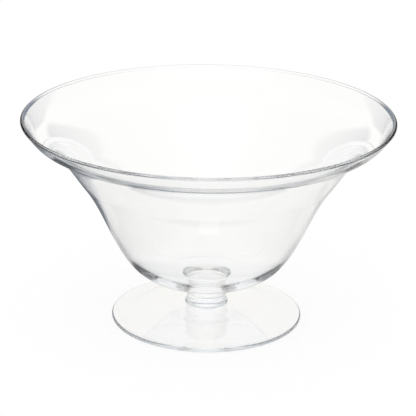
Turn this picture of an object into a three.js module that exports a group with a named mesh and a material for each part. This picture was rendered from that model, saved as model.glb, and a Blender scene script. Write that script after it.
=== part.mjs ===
// Clear glass footed bowl: a wide flared bowl, a short stem and a round foot, three gathers of glass
// fused end to end while hot. Millimetres, +Z up, origin in the middle of the foot's standing ring.
import * as THREE from "three";

// Heights of the three pieces, one standing on the other
const FOOT_HEIGHT = 9.5;
const STEM_HEIGHT = 23.5;
const BOWL_HEIGHT = 127;

// Bowl: outside of the wall from the rim inwards; slopes are degrees from level
const RIM_RADIUS = 140;
const LIP_SLOPE = 55.5;
const LIP_REACH = 13.5;
const LIP_DROP = 15.2;
const SHELF_SLOPE = 21;
const BELLY_RADIUS = 94.8;
const BELLY_HEIGHT = 77.5;
const BELLY_SLOPE = 53;
const HEEL_RADIUS = 62.2;
const HEEL_HEIGHT = 17.5;
const HEEL_SLOPE = 55;
const BASE_RADIUS = 34;

// Bowl: thickness of the blown wall, which is heavy up to one height above the base, thin from another
// and fuller again towards the rim, where the fire-polished edge melts into a bead proud of the wall
const BASE_WALL = 2.8;
const HEAVY_HEIGHT = 2;
const BELLY_WALL = 1.6;
const THIN_HEIGHT = 25;
const SHELF_WALL = 2.3;
const RIM_EDGE = 2;
const BEAD_PROUD = 0.3;

// Stem: a waisted column on a rounded roll
const STEM_TOP_RADIUS = 18.7;
const STEM_TOP_SLOPE = 50;
const WAIST_RADIUS = 15;
const WAIST_HEIGHT = 9;
const ROLL_BULGE = 1.4;
const ROLL_HEIGHT = 4.6;

// Foot: a shallow cone with a rounded edge, hollowed underneath inside its standing ring
const FOOT_RADIUS = 72.7;
const FOOT_EDGE = 2.8;
const FOOT_SEAT_LEDGE = 1.8;
const FOOT_CROWN_SLOPE = 10;
const FOOT_SKIRT_SLOPE = 4;
const STANDING_RING_WIDTH = 8.8;
const HOLLOW_HEIGHT = 4.8;
const HOLLOW_SLOPE = 7;

const glass = () => new THREE.MeshStandardMaterial({
  color: 0xe6f0ea,
  roughness: 0.04,
  metalness: 0,
  transparent: true,
  opacity: 0.35,
});

const point = (r, z) => new THREE.Vector2(r, z);
const heading = (slope) => {
  const angle = THREE.MathUtils.degToRad(slope);
  return point(Math.cos(angle), Math.sin(angle));
};
const station = (r, z, slope) => ({ at: point(r, z), along: heading(slope) });

// Cubic curve that leaves one station and reaches the next along their headings
function flow(from, to, steps) {
  const length = from.at.distanceTo(to.at);
  const out = from.at.clone().addScaledVector(from.along, length / 3);
  const into = to.at.clone().addScaledVector(to.along, -length / 3);
  return new THREE.CubicBezierCurve(from.at, out, into, to.at).getPoints(steps);
}

function arc(centre, radius, start, end, steps) {
  return Array.from({ length: steps + 1 }, (_, i) => {
    const angle = start + ((end - start) * i) / steps;
    return point(centre.x + radius * Math.cos(angle), centre.y + radius * Math.sin(angle));
  });
}

// Joins stretches of outline, leaving out the point that two neighbours share
function joined(...stretches) {
  const outline = stretches.flat();
  return outline.filter((p, i) => i === 0 || p.distanceTo(outline[i - 1]) > 1e-6);
}

// The same outline moved to its left by the thickness at each point
function inset(outline, thicknessAt) {
  return outline.map((p, i) => {
    const before = outline[Math.max(i - 1, 0)];
    const after = outline[Math.min(i + 1, outline.length - 1)];
    const along = after.clone().sub(before).normalize();
    const thickness = thicknessAt(p);
    return point(p.x - along.y * thickness, p.y + along.x * thickness);
  });
}

function turned(name, outline, sides, height) {
  const solid = new THREE.LatheGeometry(outline, sides);
  solid.rotateX(Math.PI / 2);
  const mesh = new THREE.Mesh(solid, glass());
  mesh.name = name;
  mesh.position.z = height;
  return mesh;
}

// Blown bowl: rounded heel and belly, then the wall flares to a shelf and turns up into the lip
function bowl() {
  const beadRadius = RIM_EDGE / 2 + BEAD_PROUD;
  const beadCentre = point(RIM_RADIUS - beadRadius, BOWL_HEIGHT - beadRadius);
  const lipAngle = THREE.MathUtils.degToRad(LIP_SLOPE);
  const neckAngle = Math.PI / 2 + Math.acos(RIM_EDGE / 2 / beadRadius);
  const bead = joined(
    arc(beadCentre, beadRadius, lipAngle - neckAngle, 0, 3),
    arc(beadCentre, beadRadius, 0, Math.PI / 2, 4),
    arc(beadCentre, beadRadius, Math.PI / 2, lipAngle + neckAngle, 4),
  );

  const base = station(BASE_RADIUS, 0, 0);
  const heel = station(HEEL_RADIUS, HEEL_HEIGHT, HEEL_SLOPE);
  const belly = station(BELLY_RADIUS, BELLY_HEIGHT, BELLY_SLOPE);
  const shelf = station(RIM_RADIUS - LIP_REACH, BOWL_HEIGHT - LIP_DROP, SHELF_SLOPE);
  const lip = station(bead[0].x, bead[0].y, LIP_SLOPE);

  const outside = joined(
    flow(base, heel, 7),
    flow(heel, belly, 6),
    flow(belly, shelf, 7),
    flow(shelf, lip, 6),
  );
  const { lerp, smoothstep } = THREE.MathUtils;
  const thicknessAt = ({ y }) => {
    const low = lerp(BASE_WALL, BELLY_WALL, smoothstep(y, HEAVY_HEIGHT, THIN_HEIGHT));
    const high = lerp(SHELF_WALL, RIM_EDGE, smoothstep(y, shelf.at.y, lip.at.y));
    return lerp(low, high, smoothstep(y, BELLY_HEIGHT, shelf.at.y));
  };
  const inside = inset(outside, thicknessAt).reverse().slice(1);
  inside.at(-1).set(BASE_RADIUS, BASE_WALL);
  const outline = joined([point(0, 0)], outside, bead, inside, [point(0, BASE_WALL)]);
  return turned("bowl", outline, 84, FOOT_HEIGHT + STEM_HEIGHT);
}

// Solid stem: a half-round roll at the bottom, a waist, and a flare that spreads under the bowl
function stem() {
  const rollRadius = ROLL_HEIGHT / 2;
  const rollCentre = point(WAIST_RADIUS + ROLL_BULGE - rollRadius, rollRadius);
  const rollTop = Math.acos((WAIST_RADIUS - rollCentre.x) / rollRadius);
  const roll = joined(
    arc(rollCentre, rollRadius, -Math.PI / 2, 0, 4),
    arc(rollCentre, rollRadius, 0, rollTop, 3),
  );
  const crease = station(roll.at(-1).x, roll.at(-1).y, 90);
  const waist = station(WAIST_RADIUS, WAIST_HEIGHT, 90);
  const top = station(STEM_TOP_RADIUS, STEM_HEIGHT, STEM_TOP_SLOPE);
  const column = joined(flow(crease, waist, 1), flow(waist, top, 6));
  const outline = joined([point(0, 0)], roll, column, [point(0, STEM_HEIGHT)]);
  return turned("stem", outline, 48, FOOT_HEIGHT);
}

// Foot: the stem's seat on top, the cone down to the rounded edge, the standing ring and the hollow
function foot() {
  const edgeRadius = FOOT_EDGE / 2;
  const edgeCentre = point(FOOT_RADIUS - edgeRadius, edgeRadius);
  const skirtAngle = THREE.MathUtils.degToRad(90 - FOOT_SKIRT_SLOPE);
  const edge = joined(
    arc(edgeCentre, edgeRadius, -Math.PI / 2, 0, 4),
    arc(edgeCentre, edgeRadius, 0, skirtAngle, 4),
  );
  const seatRadius = WAIST_RADIUS + ROLL_BULGE + FOOT_SEAT_LEDGE;
  const skirt = station(edge.at(-1).x, edge.at(-1).y, 180 - FOOT_SKIRT_SLOPE);
  const crown = station(seatRadius, FOOT_HEIGHT, 180 - FOOT_CROWN_SLOPE);
  const hollow = station(0, HOLLOW_HEIGHT, 0);
  const ring = station(edgeCentre.x - STANDING_RING_WIDTH, 0, -HOLLOW_SLOPE);
  const outline = joined(flow(hollow, ring, 6), edge, flow(skirt, crown, 6), [point(0, FOOT_HEIGHT)]);
  return turned("foot", outline, 64, 0);
}

const footedBowl = new THREE.Group();
footedBowl.name = "footed_bowl";
footedBowl.add(bowl(), stem(), foot());

export default footedBowl;
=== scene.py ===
import math
import bpy
import numpy as np
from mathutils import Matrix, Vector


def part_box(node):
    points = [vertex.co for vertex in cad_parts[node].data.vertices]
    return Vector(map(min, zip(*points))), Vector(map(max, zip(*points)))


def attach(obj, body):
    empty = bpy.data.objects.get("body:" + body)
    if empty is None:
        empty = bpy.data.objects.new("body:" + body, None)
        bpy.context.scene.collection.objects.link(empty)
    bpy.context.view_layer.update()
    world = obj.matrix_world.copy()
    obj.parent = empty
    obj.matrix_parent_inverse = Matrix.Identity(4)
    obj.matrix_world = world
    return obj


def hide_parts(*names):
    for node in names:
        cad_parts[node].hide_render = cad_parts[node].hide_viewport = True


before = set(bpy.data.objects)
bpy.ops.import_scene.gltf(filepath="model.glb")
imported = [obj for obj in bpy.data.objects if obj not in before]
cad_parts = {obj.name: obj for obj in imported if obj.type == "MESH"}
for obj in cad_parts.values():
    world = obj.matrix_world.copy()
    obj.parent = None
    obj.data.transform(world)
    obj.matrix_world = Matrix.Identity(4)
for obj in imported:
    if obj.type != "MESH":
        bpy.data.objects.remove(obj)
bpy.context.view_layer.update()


# Bowl: one blown gather of clear glass, opened out hot into a flat base, a rounded heel and belly, and a
# flared wall that bends over a soft shelf and turns up into the lip. Its edge is melted into a round bead
# in the flame, and its base is stuck hot on the stem.
bowl_low, bowl_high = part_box("bowl")
bowl_foot, bowl_top, rim_radius = bowl_low.z, bowl_high.z, bowl_high.x
stem_top_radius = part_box("stem")[1].x
lip_slope, lip_reach, lip_drop = 55.5, 0.0135, 0.0152
shelf_slope = 21
belly_radius, belly_height, belly_slope = 0.0948, 0.0775, 53
heel_radius, heel_height, heel_slope = 0.0622, 0.0175, 55
base_radius = 0.0340
base_wall, belly_wall, shelf_wall, rim_edge, bead_proud = 0.0028, 0.0016, 0.0023, 0.0020, 0.0003
heavy_below, thin_above = 0.0020, 0.0250
heel_rows, belly_rows, flare_rows, lip_rows, bead_rows, bowl_sides = 30, 36, 36, 26, 41, 320
# Painted edge shade of the bowl where it is seen edge on: nearly black, leaning blue
bowl_painted_edge_shade = (0.07, 0.09, 0.13)


def flow(start, end, count):
    """Cubic curve from one station (radius, height, slope in degrees) to the next, leaving and arriving
    along their slopes: the Hermite form, with both tangents as long as the chord."""
    (r0, z0, s0), (r1, z1, s1) = start, end
    chord = math.hypot(r1 - r0, z1 - z0)
    t = np.linspace(0, 1, count)[:, None]
    leave = chord * np.array([math.cos(math.radians(s0)), math.sin(math.radians(s0))])
    arrive = chord * np.array([math.cos(math.radians(s1)), math.sin(math.radians(s1))])
    near, far = np.array([r0, z0]), np.array([r1, z1])
    return ((2 * t**3 - 3 * t**2 + 1) * near + (t**3 - 2 * t**2 + t) * leave
            + (3 * t**2 - 2 * t**3) * far + (t**3 - t**2) * arrive)


def arc(centre, radius, start, end, count):
    """Points on a circle of the profile plane between two angles in degrees: centre plus radius times
    (cos a, sin a)."""
    a = np.radians(np.linspace(start, end, count))
    return np.stack([centre[0] + radius * np.cos(a), centre[1] + radius * np.sin(a)], 1)


def joined(*stretches):
    """Profile stretches end to end, without the point that two neighbours share."""
    same_point = 1e-9
    line = np.concatenate(stretches)
    step = np.hypot(*np.diff(line, axis=0).T)
    return line[np.concatenate([[True], step > same_point])]


def turned(name, line, sides, joints):
    """Closed body of revolution: point (i, j) is profile point i, radius r and height z, at angle j, so
    (r cos a, r sin a, z). The two ends of the profile lie on the axis and close in a fan. Faces whose
    profile stretch lies level at a joint's height, within its radius, take the second material slot."""
    a = np.linspace(0, 2 * np.pi, sides, endpoint=False)
    r, z = line[1:-1, :1], line[1:-1, 1:]
    ring = np.stack([r * np.cos(a), r * np.sin(a), z + 0 * a], -1).reshape(-1, 3)
    points = np.concatenate([[[0, 0, line[0, 1]]], ring, [[0, 0, line[-1, 1]]]])
    rows = len(line) - 2
    turn = np.arange(sides)
    after = (turn + 1) % sides
    lower = 1 + np.arange(rows - 1)[:, None] * sides
    upper = lower + sides
    quads = np.stack([lower + turn, lower + after, upper + after, upper + turn], -1).reshape(-1, 4)
    top = 1 + (rows - 1) * sides
    low_fan = np.stack([0 * turn, 1 + after, 1 + turn], -1)
    high_fan = np.stack([0 * turn + len(points) - 1, top + turn, top + after], -1)
    mesh = bpy.data.meshes.new(name)
    mesh.from_pydata(points.tolist(), [], low_fan.tolist() + quads.tolist() + high_fan.tolist())
    mesh.shade_smooth()
    crease, same_height, same_radius = math.radians(50), 1e-7, 1e-6
    mesh.set_sharp_from_angle(angle=crease)
    level = np.abs(np.diff(line[:, 1])) < same_height
    outer = np.maximum(line[:-1, 0], line[1:, 0])
    fused = np.zeros(len(line) - 1, bool)
    for height, radius in joints:
        at_joint = (np.abs(line[:-1, 1] - height) < same_height) & (outer <= radius + same_radius)
        fused |= level & at_joint
    mesh.polygons.foreach_set("material_index", np.repeat(fused.astype(np.int32), sides))
    piece = bpy.data.objects.new(name, mesh)
    bpy.context.scene.collection.objects.link(piece)
    return piece


def feed(tree, socket, value):
    """Input of a shader socket: another node's output is wired to it, and a plain value is set."""
    if isinstance(value, bpy.types.NodeSocket):
        tree.links.new(value, socket)
    else:
        socket.default_value = value


def node(tree, kind, *inputs, **named):
    """One shader node. Inputs feed its sockets in order; a name sets a property or feeds the socket so
    called."""
    made = tree.nodes.new("ShaderNode" + kind)
    for name, value in named.items():
        if hasattr(made, name):
            setattr(made, name, value)
        else:
            feed(tree, made.inputs[name.replace("_", " ")], value)
    for socket, value in zip(made.inputs, inputs):
        feed(tree, socket, value)
    return made


def blended(tree, share, under, over, way="MIX"):
    """Colour between two, under plus the share times (over - under); the way MULTIPLY puts under times over
    in place of over."""
    mix = node(tree, "Mix", data_type="RGBA", blend_type=way)
    for place, value in ((0, share), (6, under), (7, over)):
        feed(tree, mix.inputs[place], value)
    return mix.outputs[2]


def glass_with_painted_edge_shade(name, painted_edge_shade, bead_from=1.0):
    """Clear glass with painted edge shade, darker the more nearly edge on it is seen: clear up to the facing
    value clear_to, the painted edge shade from edge_from on, eased between. The rim's bead, above the height
    bead_from, is painted darker still, as if turned further away. Slow cords in the melt vary the tint, the
    polish and, as a bump, the surface a little."""
    glass_index, clear_to, edge_from, bead_painted_shade, bead_blend = 1.52, 0.79, 0.93, 0.32, 0.0005
    cord_scale, cord_detail, cord_depth, cord_low, cord_high, dullest = 24.0, 2.0, 0.00008, 0.3, 0.7, 0.012
    clear_tint, cord_tint = (0.999, 0.997, 0.993, 1), (0.992, 0.996, 0.990, 1)
    material = bpy.data.materials.new(name)
    material.use_nodes = True
    tree = material.node_tree
    shader = tree.nodes["Principled BSDF"]
    shader.inputs["IOR"].default_value = glass_index
    shader.inputs["Transmission Weight"].default_value = 1
    place = node(tree, "TexCoord").outputs["Object"]
    height = node(tree, "SeparateXYZ", place).outputs["Z"]
    cords = node(tree, "TexNoise", Vector=place, Scale=cord_scale, Detail=cord_detail).outputs[0]
    # Painted edge shade: the base colour darkens towards the edge colour where the glass is seen edge on
    facing = node(tree, "LayerWeight", Blend=0.5).outputs["Facing"]
    # Painted shade on the rim's bead: above its height the glass counts as turned further away, so it is
    # darker
    melted = node(tree, "MapRange", height, bead_from, bead_from + bead_blend, 0.0, bead_painted_shade).outputs[0]
    edge_shade_ramp = node(tree, "ValToRGB", node(tree, "Math", facing, melted, operation="ADD").outputs[0])
    edge_shade_ramp.color_ramp.interpolation = "EASE"
    clear, edge = edge_shade_ramp.color_ramp.elements
    clear.position, clear.color = clear_to, clear_tint
    edge.position, edge.color = edge_from, (*painted_edge_shade, 1)
    feed(tree, shader.inputs["Base Color"], blended(tree, cords, edge_shade_ramp.outputs[0], cord_tint, "MULTIPLY"))
    polish = node(tree, "MapRange", cords, cord_low, cord_high, 0.0, dullest)
    feed(tree, shader.inputs["Roughness"], polish.outputs[0])
    ripple = node(tree, "Bump", Strength=1.0, Distance=cord_depth, Height=cords)
    feed(tree, shader.inputs["Normal"], ripple.outputs[0])
    return material


def fused_joint(name):
    """Where two gathers have melted together no surface is left, and light goes straight through."""
    material = bpy.data.materials.new(name)
    material.use_nodes = True
    tree = material.node_tree
    tree.nodes.clear()
    node(tree, "OutputMaterial", node(tree, "BsdfTransparent").outputs[0])
    return material


bead_radius = rim_edge / 2 + bead_proud
bead_centre = (rim_radius - bead_radius, bowl_top - bead_radius)
neck = 90 + math.degrees(math.acos(rim_edge / 2 / bead_radius))
bead = arc(bead_centre, bead_radius, lip_slope - neck, lip_slope + neck, bead_rows)
base = (base_radius, bowl_foot, 0)
heel = (heel_radius, bowl_foot + heel_height, heel_slope)
belly = (belly_radius, bowl_foot + belly_height, belly_slope)
shelf = (rim_radius - lip_reach, bowl_top - lip_drop, shelf_slope)
lip = (*bead[0], lip_slope)
outside = joined(flow(base, heel, heel_rows), flow(heel, belly, belly_rows),
                 flow(belly, shelf, flare_rows), flow(shelf, lip, lip_rows))
tall = outside[:, 1] - bowl_foot
shelf_height = shelf[1] - bowl_foot


def swell(start, end):
    """Smooth step in height above the base: 0 up to start, 1 from end on, 3x^2 - 2x^3 between."""
    x = np.clip((tall - start) / (end - start), 0, 1)
    return 3 * x**2 - 2 * x**3


wall = (base_wall + (belly_wall - base_wall) * swell(heavy_below, thin_above)
        + (shelf_wall - belly_wall) * swell(belly_height, shelf_height)
        + (rim_edge - shelf_wall) * swell(shelf_height, tall[-1]))
along = np.gradient(outside, axis=0)
along[0], along[-1] = (1, 0), (math.cos(math.radians(lip_slope)), math.sin(math.radians(lip_slope)))
along /= np.hypot(*along.T)[:, None]
inside = outside + np.stack([-along[:, 1], along[:, 0]], 1) * wall[:, None]
underside = [(0, bowl_foot), (stem_top_radius / 2, bowl_foot), (stem_top_radius, bowl_foot)]
bowl_floor = [(base_radius / 2, bowl_foot + base_wall), (0, bowl_foot + base_wall)]
bowl_line = joined(underside, outside, bead, inside[::-1], bowl_floor)
bowl = turned("footed_bowl_bowl", bowl_line, bowl_sides, [(bowl_foot, stem_top_radius)])
bowl.data.materials.append(glass_with_painted_edge_shade("bowl glass", bowl_painted_edge_shade, bowl_top - 2 * bead_radius))
bowl.data.materials.append(fused_joint("bowl joint"))
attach(bowl, "root")
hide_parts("bowl")


# Stem: a short solid gather of clear glass, drawn in hot to a waist that spreads again under the bowl's
# base. At the bottom the soft glass is pressed out into a rounded roll, which is stuck on the foot.
stem_low, stem_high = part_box("stem")
waist_radius, waist_height = 0.0150, 0.0090
roll_bulge, roll_height = 0.0014, 0.0046
stem_top_slope = 50
roll_rows, crease_rows, waist_rows, stem_sides = 24, 6, 24, 192
# Painted edge shade of the stem where it is seen edge on: a mid grey
stem_painted_edge_shade = (0.3, 0.32, 0.34)

roll_radius = roll_height / 2
roll_centre = (waist_radius + roll_bulge - roll_radius, stem_low.z + roll_radius)
roll_top = math.degrees(math.acos((waist_radius - roll_centre[0]) / roll_radius))
roll = arc(roll_centre, roll_radius, -90, roll_top, roll_rows)
waist = (waist_radius, stem_low.z + waist_height, 90)
stem_top = (stem_high.x, stem_high.z, stem_top_slope)
column = joined(flow((*roll[-1], 90), waist, crease_rows), flow(waist, stem_top, waist_rows))
stem_line = joined([(0, stem_low.z), (roll_centre[0] / 2, stem_low.z)], roll, column,
                   [(stem_high.x / 2, stem_high.z), (0, stem_high.z)])
stem_joints = [(stem_low.z, roll_centre[0]), (stem_high.z, stem_high.x)]
stem = turned("footed_bowl_stem", stem_line, stem_sides, stem_joints)
stem.data.materials.append(glass_with_painted_edge_shade("stem glass", stem_painted_edge_shade))
stem.data.materials.append(fused_joint("stem joint"))
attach(stem, "root")
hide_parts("stem")


# Foot: a round gather of clear glass, pressed hot into a shallow cone with a melted, rounded edge. It is
# hollow underneath, stands on a flat ring inside that edge, and carries the stem on its level seat.
foot_low, foot_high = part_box("foot")
foot_edge, crown_slope, skirt_slope = 0.0028, 10, 4
seat_ledge, ring_width = 0.0018, 0.0088
hollow_height, hollow_slope = 0.0048, 7
hollow_rows, edge_rows, cone_rows, foot_sides = 30, 33, 30, 288
# Painted edge shade of the foot where it is seen edge on: a pale green-grey
foot_painted_edge_shade = (0.6, 0.66, 0.62)

edge_radius = foot_edge / 2
edge_centre = (foot_high.x - edge_radius, foot_low.z + edge_radius)
edge = arc(edge_centre, edge_radius, -90, 90 - skirt_slope, edge_rows)
skirt = (*edge[-1], 180 - skirt_slope)
crown = (waist_radius + roll_bulge + seat_ledge, foot_high.z, 180 - crown_slope)
ring = (edge_centre[0] - ring_width, foot_low.z, -hollow_slope)
hollow = flow((0, foot_low.z + hollow_height, 0), ring, hollow_rows)
seat = [(roll_centre[0], foot_high.z), (roll_centre[0] / 2, foot_high.z), (0, foot_high.z)]
foot_line = joined(hollow, edge, flow(skirt, crown, cone_rows), seat)
foot = turned("footed_bowl_foot", foot_line, foot_sides, [(foot_high.z, roll_centre[0])])
foot.data.materials.append(glass_with_painted_edge_shade("foot glass", foot_painted_edge_shade))
foot.data.materials.append(fused_joint("foot joint"))
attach(foot, "root")
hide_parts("foot")


# Table: a wide white sweep that the bowl stands on. It glows white for the camera and straight through the
# glass, and keeps the bowl's soft shadow. Light that the glass turns back finds painted reflections on it:
# rings of painted shade around the bowl's axis, painted whiter on the right half.
table_reach, table_top = 6.0, -0.0002
table_glow, table_paint = 0.87, 0.135
# Painted reflections and shade, seen only in light that the glass turns back
light_tint, mirrored_shade, inner_shade = (1.02, 1, 0.97), (0.88, 0.96, 1.1), (0.82, 0.96, 1.14)
painted_mirror_rings = ((0.0, 1.0), (0.035, 0.95), (0.055, 0.25), (0.088, 0.2), (0.1, 1.0), (0.158, 1.0),
                  (0.172, 0.6), (0.182, 0.3), (0.22, 0.25), (0.3, 0.3), (0.5, 0.6))
painted_inner_rings = ((0.0, 1.0), (0.045, 0.9), (0.065, 0.55), (0.1, 0.45), (0.12, 0.25), (0.136, 0.22),
               (0.142, 0.45), (0.158, 0.45), (0.172, 0.32), (0.22, 0.22), (0.27, 0.7), (0.5, 0.95))
right_painted_inner_light = (0.95, 0.95, 0.95, 1)
right_span, behind_span, front_share, behind_share = (0.0, 0.06), (0.06, 0.11), 0.35, 0.9
middle_span, long_run, short_run = (0.05, 0.07), 90, 11
axis_span, axis_light = (0.15, 0.2), 2.0


def eased(tree, value, start, end, low=0.0, high=1.0):
    """Smooth step of a value: low up to start, high from end on, low plus 3x^2 - 2x^3 of the way between."""
    step = node(tree, "MapRange", value, start, end, low, high, interpolation_type="SMOOTHSTEP")
    return step.outputs[0]


def rings(tree, away, light, shade, steps):
    """Colour by distance from the bowl's axis: greys at given distances in metres, eased between. A grey g
    is tinted g times light plus 1 - g times shade."""
    far = steps[-1][0]
    ramp = node(tree, "ValToRGB", node(tree, "MapRange", away, 0.0, far).outputs[0])
    ramp.color_ramp.interpolation = "EASE"
    marks = ramp.color_ramp.elements
    marks.remove(marks[1])
    for n, (distance, grey) in enumerate(steps):
        mark = marks[0] if n == 0 else marks.new(distance / far)
        mark.position = distance / far
        mark.color = (*(grey * (grey * a + (1 - grey) * b) for a, b in zip(light, shade)), 1)
    return ramp.outputs[0]


def glass_light(tree, plain, painted_reflection, painted_inner_reflection, reach, painted_guided_light, shine):
    """What a ray finds beyond the glass. One that came straight through finds the plain shader, and one that
    the outer surface turned back the painted reflection colour. One turned back inside the glass finds the
    painted colour for light from within, times exp(-(surfaces met / reach)^3) or the painted light share,
    whichever is more, so painted shade deepens with the surfaces met. That share is painted light for light
    that runs along
    in the wall: it grows with the surfaces met, from guided_from to guided_full."""
    guided_from, guided_full = 20.0, 45.0
    path = node(tree, "LightPath")
    met = path.outputs["Ray Depth"]
    # Only light that the glass turns back gets the painted reflections, shade and light
    turned_back = node(tree, "Clamp", path.outputs["Glossy Depth"]).outputs[0]
    entered = node(tree, "Clamp", path.outputs["Transmission Depth"]).outputs[0]
    share = node(tree, "Math", met, reach, operation="DIVIDE").outputs[0]
    cube = node(tree, "Math", share, 3.0, operation="POWER").outputs[0]
    loss = node(tree, "Math", cube, -1.0, operation="MULTIPLY").outputs[0]
    left = node(tree, "Math", loss, operation="EXPONENT").outputs[0]
    carried = eased(tree, met, guided_from, guided_full, 0.0, painted_guided_light)
    most = node(tree, "Math", left, carried, operation="MAXIMUM").outputs[0]
    kept = node(tree, "VectorMath", painted_inner_reflection, operation="SCALE", Scale=most).outputs[0]
    glow = node(tree, shine, Color=blended(tree, entered, painted_reflection, kept)).outputs[0]
    return node(tree, "MixShader", turned_back, plain, glow).outputs[0]


corners = [(-table_reach, -table_reach, table_top), (table_reach, -table_reach, table_top),
           (table_reach, table_reach, table_top), (-table_reach, table_reach, table_top)]
table_mesh = bpy.data.meshes.new("table")
table_mesh.from_pydata(corners, [], [(0, 1, 2, 3)])
table = bpy.data.objects.new("table", table_mesh)
bpy.context.scene.collection.objects.link(table)

white = bpy.data.materials.new("white table")
white.use_nodes = True
tree = white.node_tree
tree.nodes.clear()
place = node(tree, "TexCoord").outputs["Object"]
away = node(tree, "VectorMath", place, operation="LENGTH").outputs["Value"]
x, y = node(tree, "SeparateXYZ", place).outputs[:2]
aside = node(tree, "Math", x, operation="ABSOLUTE").outputs[0]

# Painted light: for what the glass turns back, the right half of the table is whiter, by the front share
# before the bowl and the larger one behind it
painted_light_share = eased(tree, y, *behind_span, front_share, behind_share)
right_painted_light = eased(tree, x, *right_span, 0.0, painted_light_share)
painted_mirror_greys = rings(tree, away, light_tint, mirrored_shade, painted_mirror_rings)
painted_reflection = blended(tree, right_painted_light, painted_mirror_greys, (*light_tint, 1))
painted_inner_greys = rings(tree, away, light_tint, inner_shade, painted_inner_rings)
painted_inner_reflection = blended(tree, right_painted_light, painted_inner_greys, right_painted_inner_light)

# Painted shade: what the glass turns back dims with the surfaces met, lasting through a long run of them
# over the middle of the table and a short one to its sides. Painted light: what ran along in the wall finds
# the table bright near the axis
reach = eased(tree, aside, *middle_span, long_run, short_run)
painted_guided_light = eased(tree, away, *axis_span, axis_light, 0.0)

glow = node(tree, "Emission", Color=(1, 1, 1, 1), Strength=table_glow).outputs[0]
paint = node(tree, "BsdfDiffuse", Color=(table_paint, table_paint, table_paint, 1)).outputs[0]
plain = node(tree, "AddShader", glow, paint).outputs[0]
node(tree, "OutputMaterial", glass_light(tree, plain, painted_reflection, painted_inner_reflection, reach, painted_guided_light, "Emission"))
table_mesh.materials.append(white)


# Room: a white studio all round. Light that the glass turns back finds painted colours in it: painted grey
# shade to the sides for light turned back inside the glass, a painted soft highlight where the lamp hangs,
# and low painted dark shade behind that lines the rim's two ends.
# Painted reflection colours, seen only in light that the glass turns back: warm white, a painted highlight
# and the greys of painted shade
painted_reflection_white, painted_highlight_white = (0.98, 0.94, 0.86, 1), (1.15, 1.15, 1.15, 1)
painted_inner_white, painted_side_grey, painted_side_span = (0.96, 0.98, 1.0), 0.7, (0.3, 0.85)
highlight_towards, highlight_span = (-0.08, -0.6, 0.795), (0.8, 0.98)
dark_aside, dark_behind, dark_top = (0.2, 0.3), (0.0, 0.3), (0.34, 0.44)
ahead_span, sky_span, sky_light = (0.3, 0.5), (0.5, 0.65), 1.15

world = bpy.data.worlds.new("studio")
bpy.context.scene.world = world
world.use_nodes = True
tree = world.node_tree
tree.nodes.clear()
towards = node(tree, "TexCoord").outputs["Generated"]
x, y, z = node(tree, "SeparateXYZ", towards).outputs
aside = node(tree, "Math", x, operation="ABSOLUTE").outputs[0]
painted_side_shade = eased(tree, aside, *painted_side_span, 1.0, painted_side_grey)
painted_inner_reflection = node(tree, "VectorMath", painted_inner_white, operation="SCALE", Scale=painted_side_shade).outputs[0]
near_highlight = node(tree, "VectorMath", towards, highlight_towards, operation="DOT_PRODUCT").outputs["Value"]
painted_highlit = blended(tree, eased(tree, near_highlight, *highlight_span), painted_reflection_white, painted_highlight_white)

# Painted dark shade behind the bowl, off to both sides, ending a little above the level of the rim
off_middle = eased(tree, aside, *dark_aside, 1.0, 0.0)
painted_low_shade = eased(tree, y, *dark_behind, 1.0, off_middle)
painted_rim_end_shade = eased(tree, z, *dark_top, painted_low_shade, 1.0)
painted_reflection = node(tree, "VectorMath", painted_highlit, operation="SCALE", Scale=painted_rim_end_shade).outputs[0]

# Painted shade: what the glass turns back dims with the surfaces met, lasting through a long run of them
# ahead and a short one to the sides. Painted light: what ran along in the wall finds the room bright high up
reach = eased(tree, aside, *ahead_span, long_run, short_run)
painted_guided_light = eased(tree, z, *sky_span, 0.0, sky_light)

plain = node(tree, "Background", Color=(1, 1, 1, 1)).outputs[0]
node(tree, "OutputWorld", glass_light(tree, plain, painted_reflection, painted_inner_reflection, reach, painted_guided_light, "Background"))


# Lamp: one soft white panel in front of the bowl and above it, which gives the soft shadow. It is hidden
# from mirrored light, because its square outline would show; the room's painted highlight stands there
# instead.
panel_size, panel_white = 0.7, 1.1
panel_place, lit_height = (-0.06, -0.95, 1.40), 0.1

panel = bpy.data.lights.new("panel", "AREA")
panel.shape, panel.size = "SQUARE", panel_size
panel.energy = panel_white * math.pi * panel_size**2
lamp = bpy.data.objects.new("panel", panel)
lamp.visible_glossy = False
lamp.location = panel_place
lamp.rotation_euler = (math.atan2(-panel_place[1], panel_place[2] - lit_height), 0, 0)
bpy.context.scene.collection.objects.link(lamp)


# Camera: a long lens a little above the rim, looking down at the bowl. Light may meet many surfaces on its
# way, because what is caught in the bowl's wall comes out only after a long run along it.
focal_pixels, frame_pixels = 1930.87, 416
aim = np.array([0.0003, 0, 0.087125])
distance, look_down, roll_angle = 1.46237, math.radians(20.287), math.radians(0.75)
most_surfaces = 400

view = bpy.data.cameras.new("camera")
view.sensor_width = 36
view.lens = focal_pixels / frame_pixels * view.sensor_width
view.clip_start, view.clip_end = 0.01, 50
camera = bpy.data.objects.new("camera", view)
camera.location = aim + distance * np.array([0, -math.cos(look_down), math.sin(look_down)])
camera.rotation_mode = "ZXY"
camera.rotation_euler = (math.pi / 2 - look_down, 0, roll_angle)
bpy.context.scene.collection.objects.link(camera)
bpy.context.scene.camera = camera

cycles = bpy.context.scene.cycles
cycles.max_bounces = most_surfaces
cycles.transmission_bounces = most_surfaces
cycles.glossy_bounces = most_surfaces
bpy.context.scene.view_settings.view_transform = "Standard"
